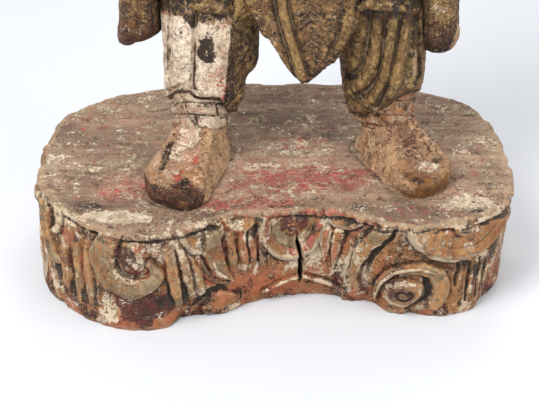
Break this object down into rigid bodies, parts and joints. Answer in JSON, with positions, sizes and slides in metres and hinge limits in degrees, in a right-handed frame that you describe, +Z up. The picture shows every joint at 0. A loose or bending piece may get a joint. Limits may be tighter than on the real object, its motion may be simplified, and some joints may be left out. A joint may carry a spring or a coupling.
{
  "type": "carved ancestor figure",
  "caption": "Carved and painted wooden ancestor figure in robe and tied trousers, standing on a scroll-carved plinth, with a lift-out cover over the cavity in its back.",
  "frame": {"origin": "middle of the plinth's underside, which is the bottom centre of the bounding box", "axes": "+Z up through the hat, +X towards the figure's own left side, the figure faces -Y"},
  "size_m": [0.4028, 0.2825, 0.672],
  "materials": {
    "plinth_paint": "matt, flaking olive, red and cream paint over bare wood",
    "shoe_paint": "matt, worn paint and gesso over bare wood",
    "trouser_gesso": "matt cream gesso, cracked and chipped",
    "trouser_lacquer": "dark lacquer with worn gilding, satin",
    "coat_lacquer": "dark red-brown lacquer with worn gilding, satin",
    "worn_gilding": "worn gold leaf over dark lacquer, satin",
    "skin_gesso": "matt aged flesh paint over gesso",
    "hat_lacquer": "black lacquer with worn gilding, satin",
    "hardwood": "bare hardwood, matt",
    "rolled_paper": "aged rolled paper, matt",
    "cotton_cloth": "faded red cotton, matt"
  },
  "bodies": {
    "figure": {"base_block": "plinth_paint", "right_shoe": "shoe_paint", "left_shoe": "shoe_paint", "right_leg": "trouser_gesso", "left_leg": "trouser_lacquer", "leg_tenons": "hardwood", "hip_dowels": "hardwood", "apron_pegs": "hardwood", "waist_tenon": "hardwood", "shoulder_dowels": "hardwood", "sleeve_pegs": "hardwood", "wrist_dowels": "hardwood", "hat_peg": "hardwood", "coat_skirt": "coat_lacquer", "apron_panel": "worn_gilding", "torso": "coat_lacquer", "dedication_scroll": "rolled_paper", "offering_bundle": "cotton_cloth", "right_arm": "coat_lacquer", "left_arm": "coat_lacquer", "right_sleeve": "coat_lacquer", "left_sleeve": "coat_lacquer", "right_hand": "skin_gesso", "left_hand": "skin_gesso", "head": "skin_gesso", "hat": "hat_lacquer", "hat_finial": "worn_gilding"},
    "cover": {"cavity_cover": "coat_lacquer"}
  },
  "joints": [
    {"name": "cover_slide", "type": "slide", "parent": "figure", "child": "cover", "axis": [0, 1, 0], "range_m": [0, 0.06]}
  ]
}
